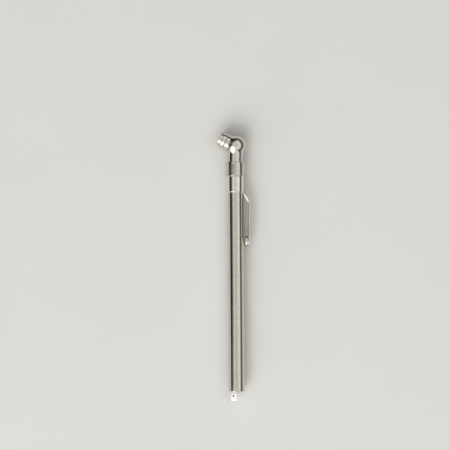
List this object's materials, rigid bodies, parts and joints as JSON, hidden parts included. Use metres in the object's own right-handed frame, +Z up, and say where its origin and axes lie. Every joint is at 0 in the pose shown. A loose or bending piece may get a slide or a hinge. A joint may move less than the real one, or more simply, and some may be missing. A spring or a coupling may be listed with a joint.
{
  "type": "tire pressure gauge",
  "caption": "Chromed pencil gauge with a ball head, angled tyre chuck, pocket clip and a white indicator bar that slides out of its tail.",
  "frame": {"origin": "under the middle of the bounding box, at the height of the ball head's lowest point", "axes": "+Y along the barrel towards the head, +X towards the pocket clip, +Z up as the gauge lies on its side"},
  "size_m": [0.0194, 0.157, 0.0121],
  "materials": {
    "chrome": "bright chrome plate with fine drawing lines along the tube",
    "clip_chrome": "bright chrome plate on spring sheet steel",
    "collar_chrome": "bright chrome plate, turned",
    "head_chrome": "bright chrome plate on a polished casting",
    "steel": "plain turned steel",
    "spring_steel": "drawn spring wire",
    "brass": "turned brass",
    "bar_nylon": "white nylon, slightly glossy",
    "guide_nylon": "natural nylon",
    "rubber": "black nitrile rubber",
    "fibre": "red vulcanised fibre"
  },
  "bodies": {
    "gauge": {"barrel_tube": "chrome", "end_guide": "guide_nylon", "friction_washer": "rubber", "compression_spring": "spring_steel", "collar": "collar_chrome", "head_gasket": "fibre", "head_body": "head_chrome", "valve_seal": "rubber", "depressor_pin": "brass", "deflator_pin": "steel", "clip_band": "clip_chrome"},
    "piston": {"piston_body": "brass", "piston_cup": "rubber", "cup_washer": "brass", "piston_screw": "steel"},
    "bar": {"indicator_bar": "bar_nylon"},
    "clip": {"clip_arm": "clip_chrome"}
  },
  "joints": [
    {"name": "piston_slide", "type": "slide", "parent": "gauge", "child": "piston", "axis": [0, -1, 0], "range_m": [0, 0.056], "stiffness_N_per_m": 489, "deforming": ["compression_spring"]},
    {"name": "bar_slide", "type": "slide", "parent": "gauge", "child": "bar", "axis": [0, -1, 0], "range_m": [0, 0.056]},
    {"name": "clip_flex", "type": "hinge", "parent": "gauge", "child": "clip", "pos_m": [0.00649, 0.04248, 0.00606], "axis": [0, 0, 1], "range_deg": [0, 6], "stiffness_Nm_per_rad": 1.2}
  ],
  "couplings": [
    {"joint": "bar_slide", "follows": "piston_slide", "ratio": 1}
  ]
}
